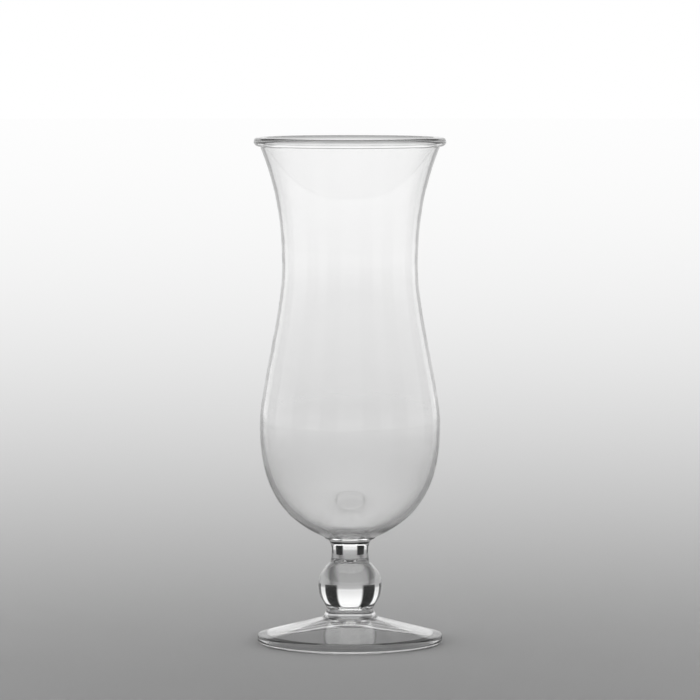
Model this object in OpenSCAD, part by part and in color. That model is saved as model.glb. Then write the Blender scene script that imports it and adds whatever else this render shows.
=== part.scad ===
// Hurricane glass: a waisted bowl with a beaded rim, on a solid ball stem and a cone-shaped foot.
// It stands on the plane z = 0, and +Z runs up its axis. All lengths are in millimetres.
// Each piece seats face to face on the one below it, where the hot glass is fused.

/* [Foot] */
// Diameter of the foot
foot_d = 76.8; // [64:0.1:92]
// Height of the foot at the middle, where its collar stands
foot_h = 10.6; // [9:0.1:13]
// Height of the foot's edge
foot_edge_h = 3.7; // [3.1:0.1:4.5]
// Height of the rounding along the top of the edge
edge_round_h = 1.4; // [1:0.1:1.8]
// Width of that rounding
edge_round_w = 0.7; // [0.5:0.05:1.2]
// Radius of the rounding under the edge
foot_under_round = 1.4; // [1.1:0.1:1.7]
// Width of the flat ring that the foot rests on
rest_ring_w = 3; // [2:0.1:5]
// Thickness of the foot's glass over its hollow, measured upright
foot_wall = 2.4; // [1.8:0.1:2.9]
// Thickness of the glass that is left over the middle of the hollow
foot_web = 0.8; // [0.5:0.05:1.2]
// Diameter of the rounded middle of the hollow
hollow_round_d = 32; // [24:0.5:40]

/* [Foot collar] */
// Height of the collar between the foot and the knop
foot_collar_h = 3.7; // [3:0.1:5]
// Diameter of the collar where it stands on the foot
foot_collar_base_d = 22.8; // [19:0.1:28]
// Diameter of the collar under the knop
foot_collar_top_d = 18.9; // [15:0.1:23]

/* [Stem] */
// Height of the ball knop
knop_h = 19.5; // [16:0.1:24]
// Diameter of the knop at its widest
knop_d = 26.7; // [22:0.1:32]
// Height of the widest place above the knop's base
knop_middle_h = 9.7; // [8:0.1:12]
// How far the knop's lower edge stands out past the collar below it
knop_lip_w = 0.4; // [0.2:0.05:0.6]
// Height of that lower edge
knop_lip_h = 0.4; // [0.2:0.05:0.6]
// Lean of the knop's side at its lower edge, in degrees from upright
knop_low_lean = 22; // [16:1:28]
// Lean of the knop's shoulder under the neck, in degrees from upright
knop_high_lean = 43; // [34:1:52]
// Height of the neck above the knop
neck_h = 6.5; // [5:0.1:8]
// Diameter of the neck where it rises from the knop
neck_low_d = 16.2; // [15.4:0.1:19.4]
// Diameter of the neck at its narrowest
neck_waist_d = 15.3; // [12.6:0.1:16.1]
// Height of the narrowest place above the knop
neck_waist_h = 4.6; // [3.8:0.1:5.6]
// Diameter of the neck under the bowl's collar
neck_top_d = 15.6; // [15.3:0.1:18.8]
// Lean of the neck's side above the knop, in degrees from upright
neck_low_lean = 12; // [9:1:15]
// Lean of the neck's side under the bowl's collar, in degrees from upright
neck_top_lean = 8; // [6:1:10]
// Length of the small fillet between the knop and the neck, along each
neck_fillet = 0.5; // [0.3:0.05:0.9]

/* [Bowl collar] */
// Height of the flared collar between the neck and the bowl
bowl_collar_h = 3.6; // [3:0.1:4.5]
// Diameter of the collar where the bowl sits on it
bowl_collar_d = 21; // [19:0.1:25]
// Height of the collar's upright edge
bowl_collar_edge_h = 0.3; // [0.2:0.05:0.5]
// Lean of the collar's underside at its edge, in degrees from level
bowl_collar_lean = 20; // [10:1:30]

/* [Bowl] */
// Height of the bowl from its seat to the rim bead
bowl_h = 162; // [135:0.5:195]
// Outer diameter of the belly
belly_d = 74.7; // [62:0.1:90]
// Height of the belly's widest place above the bowl's seat
belly_h = 46.9; // [39:0.1:56]
// Outer diameter of the waist
waist_d = 56.1; // [46:0.1:66]
// Height of the waist above the bowl's seat
waist_h = 111.4; // [93:0.1:132]
// Rise of the bowl's underside where it leaves the seat, in degrees from level
base_rise = 24; // [18:1:30]
// Lean of the flared wall under the rim bead, in degrees from upright
lip_lean = 21.5; // [15:0.5:27]
// Thickness of the bowl's floor at the middle
floor_t = 1.6; // [1.2:0.1:2.2]
// Diameter of the flat floor inside the bowl
floor_d = 16; // [13:0.1:19.5]
// Rise of the inside where it leaves the flat floor, in degrees from level
floor_rise = 24.6; // [20:0.1:30]
// Thickness of the wall at the belly
belly_wall = 1.7; // [1.2:0.05:2.4]
// Thickness of the wall at the waist
waist_wall = 1.3; // [1:0.05:1.8]
// Level width of the wall's top face, under the rim bead
lip_wall = 1.5; // [1.2:0.05:1.9]

/* [Rim bead] */
// Diameter of the rim over the bead
rim_d = 79.5; // [66:0.1:95]
// Thickness of the bead, top to bottom
bead_d = 3.6; // [3:0.05:4.3]
// How far the bead stands out past the wall below it
bead_overhang = 2.55; // [2:0.05:3.05]

/* [Hidden] */
clear_glass = [0.86, 0.89, 0.9, 0.45];
round_fn = 144;
curve_steps = 18;
short_steps = 8;
bead_steps = 20;

// Lengths of the curve handles, as shares of the stretch that each handle belongs to
edge_round_share = 0.55;
hollow_shares = [0.35, 0.35];
knop_low_shares = [0.33, 0.54];
knop_high_shares = [0.45, 0.33];
neck_low_shares = [0.4, 0.4];
neck_high_shares = [0.35, 0.35];
bowl_collar_shares = [0.6, 0.55];
base_out_shares = [0.38, 0.6];
base_in_shares = [0.4, 0.747];
middle_shares = [0.22, 0.268];
flare_shares = [0.37, 0.385];

// Heights at which the pieces meet, from the table up
foot_collar_z = foot_h;
stem_z = foot_collar_z + foot_collar_h;
neck_z = stem_z + knop_h;
bowl_collar_z = neck_z + neck_h;
bowl_z = bowl_collar_z + bowl_collar_h;
lip_z = bowl_z + bowl_h;
belly_z = bowl_z + belly_h;
waist_z = bowl_z + waist_h;

// Radii that two pieces share
foot_r = foot_d / 2;
foot_seat_r = foot_collar_base_d / 2;
knop_seat_r = foot_collar_top_d / 2;
neck_top_r = neck_top_d / 2;
bowl_seat_r = bowl_collar_d / 2;
lip_outer_r = rim_d / 2 - bead_overhang;
lip_inner_r = lip_outer_r - lip_wall;

// Unit direction in the outline's plane: across is level, up is along the axis
function along(angle) = [cos(angle), sin(angle)];

// Point at share t of the curve from a to d that leaves towards b and arrives from c
function curve_point(a, b, c, d, t) =
    pow(1 - t, 3) * a + 3 * pow(1 - t, 2) * t * b + 3 * (1 - t) * t * t * c + t * t * t * d;

// Whole curve as points, its first end left out so that stretches can be joined
function curve(a, b, c, d, steps) = [for (i = [1:steps]) curve_point(a, b, c, d, i / steps)];

// Arc about a centre, as points, its first end left out
function arc(centre, r, from, to, steps) =
    [for (i = [1:steps]) centre + r * along(from + (to - from) * i / steps)];

// Curve whose handles are given as directions and lengths at its two ends
function swept(a, a_way, a_len, d, d_way, d_len, steps) =
    curve(a, a + a_len * a_way, d - d_len * d_way, d, steps);

// Bowl's side from the belly up to the lip, for a face that lies at these three radii
function bowl_side(belly_r, waist_r, lip_r) = concat(
    swept([belly_r, belly_z], [0, 1], middle_shares[0] * (waist_z - belly_z),
          [waist_r, waist_z], [0, 1], middle_shares[1] * (waist_z - belly_z), curve_steps),
    swept([waist_r, waist_z], [0, 1], flare_shares[0] * (lip_z - waist_z),
          [lip_r, lip_z], along(90 - lip_lean), flare_shares[1] * (lip_z - waist_z), curve_steps)
);

// Points of a list in the opposite order
function backwards(points) = [for (i = [len(points) - 1:-1:0]) points[i]];

// Solid of revolution about the glass's axis
module turned(outline) {
    rotate_extrude($fn = round_fn) polygon(outline);
}

// Foot: a cone-shaped disc of nearly even thickness, hollow below so that it rests on a ring
module foot() {
    edge_top = [foot_r, foot_edge_h - edge_round_h];
    cone_low = [foot_r - edge_round_w, foot_edge_h];
    cone_top = [foot_seat_r, foot_h];
    cone_way = (cone_top - cone_low) / norm(cone_top - cone_low);
    fall = cone_way[1] / -cone_way[0];
    hollow_top = [0, foot_h - foot_web];
    hollow_r = hollow_round_d / 2;
    hollow_side = [hollow_r, foot_h - foot_wall - fall * (hollow_r - foot_seat_r)];
    rest_out_r = foot_r - foot_under_round;
    rest_in_r = rest_out_r - rest_ring_w;
    color(clear_glass) turned(concat(
        [hollow_top],
        swept(hollow_top, [1, 0], hollow_shares[0] * hollow_r,
              hollow_side, -cone_way, hollow_shares[1] * hollow_r, curve_steps),
        [[rest_in_r, foot_h - foot_wall - fall * (rest_in_r - foot_seat_r)]],
        [[rest_in_r, 0], [rest_out_r, 0]],
        arc([rest_out_r, foot_under_round], foot_under_round, -90, 0, short_steps),
        [edge_top],
        swept(edge_top, [0, 1], edge_round_share * edge_round_h,
              cone_low, cone_way, edge_round_share * edge_round_w, short_steps),
        [cone_top, [0, foot_h]]
    ));
}

// Foot collar: a small cone of glass that joins the knop to the foot
module foot_collar() {
    color(clear_glass) turned([
        [0, foot_collar_z], [foot_seat_r, foot_collar_z], [knop_seat_r, stem_z], [0, stem_z]
    ]);
}

// Stem: the solid ball knop and the short round neck above it, in one piece
module stem() {
    lip = [knop_seat_r + knop_lip_w, stem_z + knop_lip_h];
    middle = [knop_d / 2, stem_z + knop_middle_h];
    corner = [neck_low_d / 2, neck_z];
    shoulder_way = along(90 + knop_high_lean);
    shoulder = corner - neck_fillet * shoulder_way;
    neck_way = along(90 + neck_low_lean);
    neck_start = corner + neck_fillet * neck_way;
    waist = [neck_waist_d / 2, neck_z + neck_waist_h];
    neck_end = [neck_top_r, bowl_collar_z];
    low_h = knop_middle_h - knop_lip_h;
    high_h = knop_h - knop_middle_h;
    color(clear_glass) turned(concat(
        [[0, stem_z], [knop_seat_r, stem_z], lip],
        swept(lip, along(90 - knop_low_lean), knop_low_shares[0] * low_h,
              middle, [0, 1], knop_low_shares[1] * low_h, curve_steps),
        swept(middle, [0, 1], knop_high_shares[0] * high_h,
              shoulder, shoulder_way, knop_high_shares[1] * high_h, curve_steps),
        curve(shoulder, corner, corner, neck_start, short_steps),
        swept(neck_start, neck_way, neck_low_shares[0] * neck_waist_h,
              waist, [0, 1], neck_low_shares[1] * neck_waist_h, short_steps),
        swept(waist, [0, 1], neck_high_shares[0] * (neck_h - neck_waist_h),
              neck_end, along(90 - neck_top_lean), neck_high_shares[1] * (neck_h - neck_waist_h),
              short_steps),
        [[0, bowl_collar_z]]
    ));
}

// Bowl collar: flares from the neck to the seat under the bowl
module bowl_collar() {
    neck_end = [neck_top_r, bowl_collar_z];
    edge = [bowl_seat_r, bowl_z - bowl_collar_edge_h];
    color(clear_glass) turned(concat(
        [[0, bowl_collar_z], neck_end],
        swept(neck_end, along(90 - neck_top_lean),
              bowl_collar_shares[0] * (bowl_collar_h - bowl_collar_edge_h),
              edge, along(bowl_collar_lean), bowl_collar_shares[1] * (bowl_seat_r - neck_top_r),
              short_steps),
        [[bowl_seat_r, bowl_z], [0, bowl_z]]
    ));
}

// Bowl: a thin waisted wall that thickens a little down to a flat floor
module bowl() {
    seat = [bowl_seat_r, bowl_z];
    belly_r = belly_d / 2;
    belly_in_r = belly_r - belly_wall;
    waist_r = waist_d / 2;
    floor_z = bowl_z + floor_t;
    floor_r = floor_d / 2;
    outer = concat(
        [seat],
        swept(seat, along(base_rise), base_out_shares[0] * belly_h,
              [belly_r, belly_z], [0, 1], base_out_shares[1] * belly_h, curve_steps),
        bowl_side(belly_r, waist_r, lip_outer_r)
    );
    inner = concat(
        [[0, floor_z], [floor_r, floor_z]],
        swept([floor_r, floor_z], along(floor_rise), base_in_shares[0] * (belly_in_r - floor_r),
              [belly_in_r, belly_z], [0, 1], base_in_shares[1] * (belly_z - floor_z), curve_steps),
        bowl_side(belly_in_r, waist_r - waist_wall, lip_inner_r)
    );
    color(clear_glass) turned(concat([[0, bowl_z]], outer, backwards(inner)));
}

// Rim bead: the solid round rim, whose inner face runs on from the bowl's wall
module rim_bead() {
    bead_r = bead_d / 2;
    centre = [rim_d / 2 - bead_r, lip_z + bead_r];
    inner = [lip_inner_r, lip_z];
    reach = inner - centre;
    touch = 360 + atan2(reach[1], reach[0]) - acos(bead_r / norm(reach));
    color(clear_glass) turned(concat(
        [inner, centre - [0, bead_r]],
        arc(centre, bead_r, -90, 90, bead_steps),
        arc(centre, bead_r, 90, touch, short_steps)
    ));
}

foot();
foot_collar();
stem();
bowl_collar();
bowl();
rim_bead();
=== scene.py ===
import math

import bmesh
import bpy
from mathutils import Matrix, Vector


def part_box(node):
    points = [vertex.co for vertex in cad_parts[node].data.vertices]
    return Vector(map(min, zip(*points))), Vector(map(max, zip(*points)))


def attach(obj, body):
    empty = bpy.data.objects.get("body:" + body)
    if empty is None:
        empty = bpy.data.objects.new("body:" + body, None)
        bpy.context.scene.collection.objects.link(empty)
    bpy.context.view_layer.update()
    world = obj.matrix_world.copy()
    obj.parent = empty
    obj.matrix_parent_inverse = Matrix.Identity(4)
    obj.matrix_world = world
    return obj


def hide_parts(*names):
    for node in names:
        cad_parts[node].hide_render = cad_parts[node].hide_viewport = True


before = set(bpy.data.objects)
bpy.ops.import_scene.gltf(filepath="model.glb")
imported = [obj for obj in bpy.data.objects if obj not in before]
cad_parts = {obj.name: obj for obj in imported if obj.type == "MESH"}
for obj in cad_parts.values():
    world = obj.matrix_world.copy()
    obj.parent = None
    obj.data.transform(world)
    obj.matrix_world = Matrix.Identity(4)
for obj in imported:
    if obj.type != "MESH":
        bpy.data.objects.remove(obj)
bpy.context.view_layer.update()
scene = bpy.context.scene

# ---------------------------------------------------------------------------------------------------------------------
# Foot: a cone-shaped disc of clear soda-lime glass of nearly even thickness, pressed hot in a mould and fire-polished.
# It is hollow below, so that it stands on a flat ring, and its edge is rounded.

MM = 0.001
AROUND = 240           # steps round the axis, fine enough that no facet shows in the refraction
SMOOTH_TO = math.radians(28)  # edges that turn more than this stay crisp


def hex_colour(code):
    """A colour written as sRGB hex, as the linear values that the shaders work in."""
    parts = [int(code[i:i + 2], 16) / 255 for i in (1, 3, 5)]
    return [p / 12.92 if p <= 0.04045 else ((p + 0.055) / 1.055) ** 2.4 for p in parts] + [1.0]


def add_node(tree, kind, settings=None, links=None):
    """Adds one node. settings holds its properties and input values, and links the outputs that feed its inputs. An
    input goes by its name, or by its number where names repeat."""
    node = tree.nodes.new(kind)
    for key, value in (settings or {}).items():
        if isinstance(key, int) or key in node.inputs:
            node.inputs[key].default_value = value
        else:
            setattr(node, key, value)
    for key, socket in (links or {}).items():
        tree.links.new(socket, node.inputs[key])
    return node


def new_material(name):
    """An empty node material and its output node."""
    material = bpy.data.materials.new(name)
    material.use_nodes = True
    material.node_tree.nodes.clear()
    return material, add_node(material.node_tree, "ShaderNodeOutputMaterial")


WAVE_LONG = 25 * MM    # how far the waves are apart round the glass
WAVE_HIGH = 8 * MM     # and up it
WAVE_DEPTH = 0.09 * MM


def soda_lime_glass():
    """Clear soda-lime glass, fire-polished. The flame leaves it smooth and bright, with no grain, and pressing and
    blowing leave long level waves in it that bend what is seen through it a little."""
    material, out = new_material("soda_lime_glass_fire_polished")
    tree = material.node_tree
    where = add_node(tree, "ShaderNodeTexCoord")
    stretched = add_node(tree, "ShaderNodeMapping", {"Scale": (1 / WAVE_LONG, 1 / WAVE_LONG, 1 / WAVE_HIGH)},
                         {"Vector": where.outputs["Object"]})
    waves = add_node(tree, "ShaderNodeTexNoise", {"Scale": 1.0, "Detail": 2.0, "Roughness": 0.35},
                     {"Vector": stretched.outputs[0]})
    wavy = add_node(tree, "ShaderNodeBump", {"Strength": 1.0, "Distance": WAVE_DEPTH}, {"Height": waves.outputs[0]})
    glass = add_node(tree, "ShaderNodeBsdfPrincipled", {
        "Base Color": hex_colour("#FEFEFE"), "Roughness": 0.0, "IOR": 1.52, "Transmission Weight": 1.0},
        {"Normal": wavy.outputs[0]})
    tree.links.new(glass.outputs[0], out.inputs["Surface"])
    return material


def fused_joint():
    """A fused joint, where the glass runs on from one piece to the next with nothing to see between them."""
    material, out = new_material("fused_glass_joint")
    tree = material.node_tree
    clear = add_node(tree, "ShaderNodeBsdfTransparent")
    tree.links.new(clear.outputs[0], out.inputs["Surface"])
    return material


def along(degrees):
    """Unit direction in the outline's plane: x is outwards and y is up the axis."""
    return Vector((math.cos(math.radians(degrees)), math.sin(math.radians(degrees))))


def curve(a, b, c, d, steps):
    """Points on the curve from a to d that leaves towards b and arrives from c, without a itself."""
    points = []
    for i in range(1, steps + 1):
        t = i / steps
        s = 1 - t
        points.append(s ** 3 * a + 3 * s * s * t * b + 3 * s * t * t * c + t ** 3 * d)
    return points


def swept(a, a_way, a_len, d, d_way, d_len, steps):
    """The same curve, with its handles given as directions and lengths."""
    return curve(a, a + a_len * a_way, d - d_len * d_way, d, steps)


def arc(centre, r, start, end, steps):
    """Points on an arc from start to end degrees, without the first."""
    return [centre + r * along(start + (end - start) * i / steps) for i in range(1, steps + 1)]


def line(a, b, steps):
    """Points on a straight line, without the first."""
    return [a.lerp(b, i / steps) for i in range(1, steps + 1)]


def turned(name, outline, seats=()):
    """Spins a closed outline of (radius, height) points round the axis into one smooth solid. Faces that lie flat at a
    height in seats are fused joints."""
    bm = bmesh.new()
    verts = [bm.verts.new((p.x, 0, p.y)) for p in outline]
    closed = outline[0].x > 0
    pairs = zip(verts, verts[1:] + verts[:1] if closed else verts[1:])
    edges = [bm.edges.new(pair) for pair in pairs]
    bmesh.ops.spin(bm, geom=verts + edges, cent=(0, 0, 0), axis=(0, 0, 1), angle=math.tau, steps=AROUND, use_merge=True)
    bmesh.ops.remove_doubles(bm, verts=bm.verts, dist=0.001 * MM)
    bmesh.ops.recalc_face_normals(bm, faces=bm.faces)
    for face in bm.faces:
        face.smooth = True
        if abs(face.normal.z) > 0.9999 and any(abs(face.verts[0].co.z - seat) < 0.001 * MM for seat in seats):
            face.material_index = 1
    mesh = bpy.data.meshes.new(name)
    bm.to_mesh(mesh)
    bm.free()
    mesh.set_sharp_from_angle(angle=SMOOTH_TO)
    piece = bpy.data.objects.new(name, mesh)
    scene.collection.objects.link(piece)
    mesh.materials.append(glass)
    mesh.materials.append(joint)
    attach(piece, "root")
    return piece


glass = soda_lime_glass()
joint = fused_joint()

foot_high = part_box("foot")[1]
foot_collar_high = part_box("foot_collar")[1]
foot_r = foot_high.x
foot_h = foot_high.z
foot_seat_r = foot_collar_high.x
foot_edge_h = 3.7 * MM
edge_round_h = 1.4 * MM
edge_round_w = 0.7 * MM
edge_round_share = 0.55
foot_under_round = 1.4 * MM
rest_ring_w = 3.0 * MM
foot_wall = 2.4 * MM
foot_web = 0.8 * MM
hollow_r = 16 * MM
hollow_share = 0.35

edge_top = Vector((foot_r, foot_edge_h - edge_round_h))
cone_low = Vector((foot_r - edge_round_w, foot_edge_h))
cone_top = Vector((foot_seat_r, foot_h))
cone_way = (cone_top - cone_low).normalized()
fall = -cone_way.y / cone_way.x
rest_out_r = foot_r - foot_under_round
rest_in_r = rest_out_r - rest_ring_w
hollow_top = Vector((0, foot_h - foot_web))
hollow_side = Vector((hollow_r, foot_h - foot_wall - fall * (hollow_r - foot_seat_r)))
hollow_edge = Vector((rest_in_r, foot_h - foot_wall - fall * (rest_in_r - foot_seat_r)))
foot = turned("foot_glass", (
    [hollow_top]
    + swept(hollow_top, along(0), hollow_share * hollow_r, hollow_side, -cone_way, hollow_share * hollow_r, 32)
    + line(hollow_side, hollow_edge, 12)
    + line(hollow_edge, Vector((rest_in_r, 0)), 3)
    + [Vector((rest_out_r, 0))]
    + arc(Vector((rest_out_r, foot_under_round)), foot_under_round, -90, 0, 12)
    + line(Vector((foot_r, foot_under_round)), edge_top, 2)
    + swept(edge_top, along(90), edge_round_share * edge_round_h,
            cone_low, cone_way, edge_round_share * edge_round_w, 12)
    + line(cone_low, cone_top, 24)
    + line(cone_top, Vector((0, foot_h)), 6)), seats=[foot_h])
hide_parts("foot")

# ---------------------------------------------------------------------------------------------------------------------
# Foot collar: a small cone of the same glass, dropped hot on the foot to carry the knop.
# It narrows towards the knop and is fused to both.

knop_seat_r = 9.45 * MM
stem_low, stem_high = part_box("stem")
stem_z = stem_low.z
collar_base = Vector((foot_seat_r, foot_h))
collar_top = Vector((knop_seat_r, stem_z))
foot_collar = turned("foot_collar_glass", (
    [Vector((0, foot_h))]
    + line(Vector((0, foot_h)), collar_base, 6)
    + line(collar_base, collar_top, 12)
    + line(collar_top, Vector((0, stem_z)), 6)), seats=[foot_h, stem_z])
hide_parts("foot_collar")

# ---------------------------------------------------------------------------------------------------------------------
# Stem: the solid ball knop and the short round neck above it, pressed in one piece of clear glass.
# The knop is widest about half way up and runs up into the neck with a small fillet.

knop_r = stem_high.x
knop_h = 19.5 * MM
knop_middle_h = 9.7 * MM
knop_lip_w = 0.4 * MM
knop_lip_h = 0.4 * MM
knop_low_lean = 22
knop_high_lean = 43
neck_low_r = 8.1 * MM
neck_waist_r = 7.65 * MM
neck_waist_h = 4.6 * MM
neck_top_r = 7.8 * MM
neck_low_lean = 12
neck_top_lean = 8
neck_fillet = 0.5 * MM
knop_low_shares = (0.33, 0.54)
knop_high_shares = (0.45, 0.33)
neck_low_share = 0.4
neck_high_share = 0.35
bowl_collar_z = stem_high.z
neck_z = stem_z + knop_h

lip = Vector((knop_seat_r + knop_lip_w, stem_z + knop_lip_h))
knop_side = Vector((knop_r, stem_z + knop_middle_h))
corner = Vector((neck_low_r, neck_z))
neck_way = along(90 + neck_low_lean)
fillet_top = corner + neck_fillet * neck_way
neck_waist = Vector((neck_waist_r, neck_z + neck_waist_h))
neck_end = Vector((neck_top_r, bowl_collar_z))
neck_top_way = along(90 - neck_top_lean)
shoulder_way = along(90 + knop_high_lean)
shoulder = corner - neck_fillet * shoulder_way
low_h = knop_middle_h - knop_lip_h
high_h = knop_h - knop_middle_h
neck_high_h = neck_end.y - neck_waist.y
stem = turned("stem_glass", (
    [Vector((0, stem_z))]
    + line(Vector((0, stem_z)), Vector((knop_seat_r, stem_z)), 6)
    + [lip]
    + swept(lip, along(90 - knop_low_lean), knop_low_shares[0] * low_h,
            knop_side, along(90), knop_low_shares[1] * low_h, 64)
    + swept(knop_side, along(90), knop_high_shares[0] * high_h,
            shoulder, shoulder_way, knop_high_shares[1] * high_h, 64)
    + curve(shoulder, corner, corner, fillet_top, 16)
    + swept(fillet_top, neck_way, neck_low_share * neck_waist_h,
            neck_waist, along(90), neck_low_share * neck_waist_h, 32)
    + swept(neck_waist, along(90), neck_high_share * neck_high_h,
            neck_end, neck_top_way, neck_high_share * neck_high_h, 24)
    + line(neck_end, Vector((0, bowl_collar_z)), 6)), seats=[stem_z, bowl_collar_z])
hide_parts("stem")

# ---------------------------------------------------------------------------------------------------------------------
# Bowl collar: a flared ring of glass between the neck and the bowl, fused to both.
# Its thin edge shows as a step under the bowl.

bowl_collar_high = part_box("bowl_collar")[1]
bowl_seat_r = bowl_collar_high.x
bowl_z = bowl_collar_high.z
bowl_collar_edge_h = 0.3 * MM
bowl_collar_lean = 20
bowl_collar_shares = (0.6, 0.55)

collar_edge = Vector((bowl_seat_r, bowl_z - bowl_collar_edge_h))
bowl_collar = turned("bowl_collar_glass", (
    [Vector((0, bowl_collar_z))]
    + line(Vector((0, bowl_collar_z)), neck_end, 6)
    + swept(neck_end, neck_top_way, bowl_collar_shares[0] * (bowl_z - bowl_collar_z - bowl_collar_edge_h),
            collar_edge, along(bowl_collar_lean), bowl_collar_shares[1] * (bowl_seat_r - neck_top_r), 32)
    + [Vector((bowl_seat_r, bowl_z))]
    + line(Vector((bowl_seat_r, bowl_z)), Vector((0, bowl_z)), 6)), seats=[bowl_collar_z, bowl_z])
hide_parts("bowl_collar")

# ---------------------------------------------------------------------------------------------------------------------
# Bowl: a thin waisted wall of clear glass, blown into a mould and fire-polished, which thickens a little downwards to
# a flat floor. It is fused to its collar below and runs on into the bead of the rim above.

bowl_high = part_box("bowl")[1]
bead_low, bead_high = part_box("rim_bead")
belly_r = bowl_high.x
lip_z = bead_low.z
rim_r = bead_high.x
belly_z = bowl_z + 46.9 * MM
waist_z = bowl_z + 111.4 * MM
waist_r = 28.05 * MM
base_rise = 24
lip_lean = 21.5
floor_t = 1.6 * MM
belly_wall = 1.7 * MM
waist_wall = 1.3 * MM
lip_wall = 1.5 * MM
bead_overhang = 2.55 * MM
lip_outer_r = rim_r - bead_overhang
lip_inner_r = lip_outer_r - lip_wall
base_out_shares = (0.38, 0.6)
base_in_shares = (0.4, 0.747)
floor_flat_r = 8.0 * MM
floor_rise = 24.6
middle_shares = (0.22, 0.268)
flare_shares = (0.37, 0.385)


def bowl_side(at_belly, at_waist, at_lip):
    """The bowl's side from the belly up to the lip, for a face that lies at these three radii."""
    middle_h = waist_z - belly_z
    flare_h = lip_z - waist_z
    waist = Vector((at_waist, waist_z))
    return (swept(Vector((at_belly, belly_z)), along(90), middle_shares[0] * middle_h,
                  waist, along(90), middle_shares[1] * middle_h, 72)
            + swept(waist, along(90), flare_shares[0] * flare_h,
                    Vector((at_lip, lip_z)), along(90 - lip_lean), flare_shares[1] * flare_h, 56))


seat = Vector((bowl_seat_r, bowl_z))
floor_top = Vector((0, bowl_z + floor_t))
belly_in_r = belly_r - belly_wall
outer = (swept(seat, along(base_rise), base_out_shares[0] * (belly_z - bowl_z),
               Vector((belly_r, belly_z)), along(90), base_out_shares[1] * (belly_z - bowl_z), 72)
         + bowl_side(belly_r, waist_r, lip_outer_r))
floor_edge = Vector((floor_flat_r, floor_top.y))
inner = ([floor_top]
         + line(floor_top, floor_edge, 3)
         + swept(floor_edge, along(floor_rise), base_in_shares[0] * (belly_in_r - floor_flat_r),
                 Vector((belly_in_r, belly_z)), along(90), base_in_shares[1] * (belly_z - floor_top.y), 72)
         + bowl_side(belly_in_r, waist_r - waist_wall, lip_inner_r))
bowl = turned("bowl_glass", (
    [Vector((0, bowl_z))]
    + line(Vector((0, bowl_z)), seat, 6)
    + outer
    + [Vector((lip_inner_r, lip_z))]
    + inner[-2::-1]), seats=[bowl_z, lip_z])
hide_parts("bowl")

# ---------------------------------------------------------------------------------------------------------------------
# Rim bead: the solid round bead along the mouth, rolled out of the same glass while it is soft.
# Its inner face runs on from the wall and its outer side stands out past it.

bead_r = (bead_high.z - bead_low.z) / 2
bead_centre = Vector((rim_r - bead_r, lip_z + bead_r))
bead_inner = Vector((lip_inner_r, lip_z))
reach = bead_inner - bead_centre
touch = 360 + math.degrees(math.atan2(reach.y, reach.x) - math.acos(bead_r / reach.length))
rim_bead = turned("rim_bead_glass", (
    [bead_inner, Vector((lip_outer_r, lip_z)), bead_centre - Vector((0, bead_r))]
    + arc(bead_centre, bead_r, -90, 90, 40)
    + arc(bead_centre, bead_r, 90, touch, 30)), seats=[lip_z])
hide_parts("rim_bead")

# ---------------------------------------------------------------------------------------------------------------------
# Table: the plain pale table that the glass stands on, a sheet of matt white laminate. Its colour is painted grey near
# the glass as shade and turns white away from it, its far part glows as painted light, and it keeps the glass's shadow.

TABLE_R = 10.0
TABLE_CENTRE = (0, -0.25, 0)    # the table's darkest place
# painted shade: the grey that the white table is painted at its darkest place, near the glass
TABLE_PAINTED_SHADE = "#8E8E8E"
HALF_WAY = 1.05        # metres from there to where it is half way to white
STEEPNESS = 1.75       # how quickly it turns from grey to white there
MATT_TO = 0.6          # metres from there up to which it only scatters light
BRIGHT_FROM = 1.4      # and from which it only glows


def table_material():
    """Matt white laminate, even in finish and with no gloss, painted grey near the glass as shade.
    Its far part glows as painted light, as a lit sweep looks bright of itself.
    """
    material, out = new_material("white_laminate_painted_shade_and_glow")
    tree = material.node_tree
    where = add_node(tree, "ShaderNodeTexCoord")
    away = add_node(tree, "ShaderNodeVectorMath", {"operation": "DISTANCE", 1: TABLE_CENTRE},
                    {0: where.outputs["Object"]})
    part = add_node(tree, "ShaderNodeMath", {"operation": "DIVIDE", 1: HALF_WAY}, {0: away.outputs["Value"]})
    rise = add_node(tree, "ShaderNodeMath", {"operation": "POWER", 1: STEEPNESS}, {0: part.outputs[0]})
    whole = add_node(tree, "ShaderNodeMath", {"operation": "ADD", 1: 1.0}, {0: rise.outputs[0]})
    # painted shade: the table's tone, grey near the glass and turning white away from it
    grey = add_node(tree, "ShaderNodeMath", {"operation": "DIVIDE", 0: 1 - hex_colour(TABLE_PAINTED_SHADE)[0]},
                    {1: whole.outputs[0]})
    tone = add_node(tree, "ShaderNodeMath", {"operation": "SUBTRACT", 0: 1.0}, {1: grey.outputs[0]})
    matt = add_node(tree, "ShaderNodeBsdfDiffuse", links={"Color": tone.outputs[0]})
    # painted light: the far table glows of itself instead of being lit
    glow = add_node(tree, "ShaderNodeEmission", links={"Color": tone.outputs[0]})
    fade = add_node(tree, "ShaderNodeMapRange", {"From Min": MATT_TO, "From Max": BRIGHT_FROM},
                    {"Value": away.outputs["Value"]})
    mixed = add_node(tree, "ShaderNodeMixShader", links={0: fade.outputs[0], 1: matt.outputs[0], 2: glow.outputs[0]})
    tree.links.new(mixed.outputs[0], out.inputs["Surface"])
    return material


bm = bmesh.new()
bmesh.ops.create_circle(bm, cap_ends=True, segments=96, radius=TABLE_R)
table_mesh = bpy.data.meshes.new("table")
bm.to_mesh(table_mesh)
bm.free()
table = bpy.data.objects.new("table", table_mesh)
scene.collection.objects.link(table)
table_mesh.materials.append(table_material())

# ---------------------------------------------------------------------------------------------------------------------
# Cards: black cards that lie and stand round the glass out of sight, as glass is photographed, so that its edges draw
# as dark lines. There are the same cards on all four sides, and only light from inside the glass meets them.

CARD_R = 0.2
LYING = ((0.042, 0.001), (CARD_R, 0.001))     # runs of (radius, height)
LOW = ((CARD_R, 0.001), (CARD_R, 0.05))
HIGH = ((CARD_R, 0.05), (CARD_R, 0.24))
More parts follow.
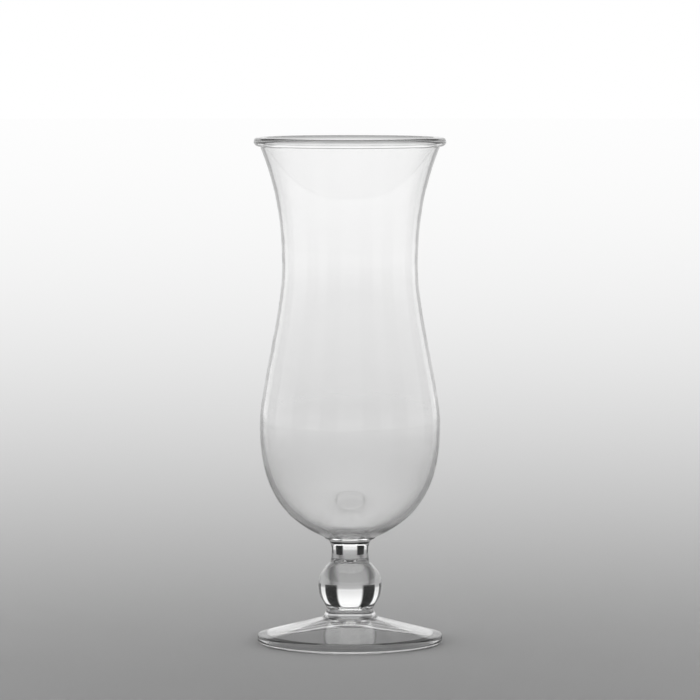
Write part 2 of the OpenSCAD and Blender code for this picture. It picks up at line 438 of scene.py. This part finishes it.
# each card: its middle and half its width in degrees, the degrees over which its sides fade, how dark it is to light
# that was also reflected inside the glass, and its run
CARDS = (
    (24, 14, 22, 0.3, LYING), (66, 14, 22, 0.3, LYING),
    (26, 13, 4, 0.25, LOW), (26, 13, 4, 0.5, HIGH), (64, 13, 4, 0.25, LOW), (64, 13, 4, 0.5, HIGH))


def card_material():
    """Matt black card: very dark and even. It shows only in light that has passed a single thickness of glass."""
    material, out = new_material("matt_black_card")
    tree = material.node_tree
    # the card's UV map holds how it fades out at its two sides, and how dark it is to reflected light
    across = add_node(tree, "ShaderNodeUVMap", {"uv_map": "across"})
    apart = add_node(tree, "ShaderNodeSeparateXYZ", links={"Vector": across.outputs[0]})
    cover = add_node(tree, "ShaderNodeMapRange", {"interpolation_type": "SMOOTHSTEP"}, {"Value": apart.outputs["X"]})
    path = add_node(tree, "ShaderNodeLightPath")
    one_wall = add_node(tree, "ShaderNodeMath", {"operation": "LESS_THAN", 1: 3.5},
                        {0: path.outputs["Transmission Depth"]})
    unscattered = add_node(tree, "ShaderNodeMath", {"operation": "LESS_THAN", 1: 0.5},
                           {0: path.outputs["Diffuse Depth"]})
    reflected = add_node(tree, "ShaderNodeMath", {"operation": "SUBTRACT"},
                         {0: path.outputs["Ray Depth"], 1: path.outputs["Transmission Depth"]})
    share = add_node(tree, "ShaderNodeMapRange", {"From Min": 0.2, "From Max": 0.8, "To Min": 1.0},
                     {"Value": reflected.outputs[0], "To Max": apart.outputs["Y"]})
    seen = cover.outputs[0]
    for part in (one_wall.outputs[0], unscattered.outputs[0], path.outputs["Is Transmission Ray"], share.outputs[0]):
        seen = add_node(tree, "ShaderNodeMath", {"operation": "MULTIPLY"}, {0: seen, 1: part}).outputs[0]
    clear = add_node(tree, "ShaderNodeBsdfTransparent")
    black = add_node(tree, "ShaderNodeEmission", {"Color": hex_colour("#1C1C1C")})
    mixed = add_node(tree, "ShaderNodeMixShader", links={0: seen, 1: clear.outputs[0], 2: black.outputs[0]})
    tree.links.new(mixed.outputs[0], out.inputs["Surface"])
    return material


bm = bmesh.new()
across = bm.loops.layers.uv.new("across")
for quarter in range(4):
    for middle, half, fade, dark, run in CARDS:
        rows = []
        for side in (-1, 0, 1):
            turn = math.radians(90 * quarter + middle + side * half)
            rows.append([bm.verts.new((r * math.cos(turn), r * math.sin(turn), z)) for r, z in run])
        for left, right in zip(rows, rows[1:]):
            face = bm.faces.new((left[0], left[1], right[1], right[0]))
            for loop in face.loops:
                loop[across].uv = (half / fade if loop.vert in rows[1] else 0, dark)
card_mesh = bpy.data.meshes.new("cards")
bm.to_mesh(card_mesh)
bm.free()
cards = bpy.data.objects.new("cards", card_mesh)
scene.collection.objects.link(cards)
card_mesh.materials.append(card_material())

# ---------------------------------------------------------------------------------------------------------------------
# Surround: a white room to the camera, with soft light round the glass. What the glass shows of it goes by the way that
# the light took through the glass, so there is a sky for each way, with its own level at each height.

SKY_TOP = 3.0
# each sky: how many faces of glass the light passed at least, how often it was reflected at least and how often the
# table scattered it at least, and then degrees up and the level there. The last sky that fits is the one that shows.
SKIES = (
    # reflected off the outside of the glass
    (0, 0, 0, ((0, 0.9), (9, 0.95), (14, 1.3), (19, 1.3), (21.5, 0.5), (50, 0.5), (90, 0.8))),
    # through one wall or one solid piece, straight and then with reflections inside it
    (1, 0, 0, ((0, 0.8), (6, 0.9), (14, 1.05), (31.5, 1.05), (33, 0.1), (90, 0.1))),
    (1, 1, 0, ((0, 0.9), (5, 0.85), (10, 0.4), (52, 0.35), (64, 2.4), (72, 2.4), (80, 0.8), (90, 0.8))),
    # through two walls, straight, then with one reflection and then with more
    (4, 0, 0, ((0, 0.95), (8, 0.95), (14, 0.1), (90, 0.1))),
    (4, 1, 0, ((0, 0.9), (60, 2.9), (90, 2.9))),
    (4, 2, 0, ((0, 0.8), (12, 0.8), (20, 0.25), (90, 0.25))),
    # the light that falls on the table
    (0, 0, 1, ((0, 0.68), (12, 0.68), (18, 3.0), (26, 3.0), (32, 0.7), (90, 0.7))))

world = bpy.data.worlds.new("studio")
scene.world = world
world.use_nodes = True
tree = world.node_tree
tree.nodes.clear()
out = add_node(tree, "ShaderNodeOutputWorld")
where = add_node(tree, "ShaderNodeTexCoord")
apart = add_node(tree, "ShaderNodeSeparateXYZ", links={"Vector": where.outputs["Generated"]})
steep = add_node(tree, "ShaderNodeMath", {"operation": "ARCSINE"}, {0: apart.outputs["Z"]})
up = add_node(tree, "ShaderNodeMath", {"operation": "DIVIDE", 1: math.pi / 2}, {0: steep.outputs[0]})
path = add_node(tree, "ShaderNodeLightPath")
faces = path.outputs["Transmission Depth"]
others = add_node(tree, "ShaderNodeMath", {"operation": "SUBTRACT"}, {0: path.outputs["Ray Depth"], 1: faces})
# leaving for the sky counts as a step of its own
reflected = add_node(tree, "ShaderNodeMath", {"operation": "SUBTRACT", 1: 1.0}, {0: others.outputs[0]})
counts = (faces, reflected.outputs[0], path.outputs["Diffuse Depth"])
level = None
for *least, rise in SKIES:
    tone = add_node(tree, "ShaderNodeValToRGB", links={"Fac": up.outputs[0]})
    stops = tone.color_ramp.elements
    for place, (degrees, bright) in enumerate(rise):
        stop = stops[place] if place < 2 else stops.new(1)
        stop.position, stop.color = degrees / 90, (*[bright / SKY_TOP] * 3, 1)
    sky = add_node(tree, "ShaderNodeMath", {"operation": "MULTIPLY", 1: SKY_TOP}, {0: tone.outputs["Color"]}).outputs[0]
    for count, times in zip(counts, least):
        if times:
            fits = add_node(tree, "ShaderNodeMath", {"operation": "GREATER_THAN", 1: times - 0.5}, {0: count})
            choice = add_node(tree, "ShaderNodeMix", {"data_type": "FLOAT"}, {0: fits.outputs[0], 2: level, 3: sky})
            sky = choice.outputs[0]
    level = sky
strength = add_node(tree, "ShaderNodeMix", {"data_type": "FLOAT", 3: 1.0}, {0: path.outputs["Is Camera Ray"], 2: level})
light = add_node(tree, "ShaderNodeBackground", {"Color": hex_colour("#FFFFFF")}, {"Strength": strength.outputs[0]})
tree.links.new(light.outputs[0], out.inputs["Surface"])

# ---------------------------------------------------------------------------------------------------------------------
# Camera: a long lens in front of the glass and a little above its rim, at the photograph's viewing angle.
# It is tilted down a little and has no shift and no depth of field.

CAMERA_FAR = 1.870
CAMERA_H = 0.258
CAMERA_DOWN = 4.17     # degrees below level
camera_data = bpy.data.cameras.new("camera")
camera_data.lens = 233.2
camera_data.sensor_width = 36
camera_data.clip_end = 100
camera = bpy.data.objects.new("camera", camera_data)
camera.location = (0, -CAMERA_FAR, CAMERA_H)
camera.rotation_euler = (math.radians(90 - CAMERA_DOWN), 0, 0)
scene.collection.objects.link(camera)
scene.camera = camera
scene.view_settings.view_transform = "Standard"
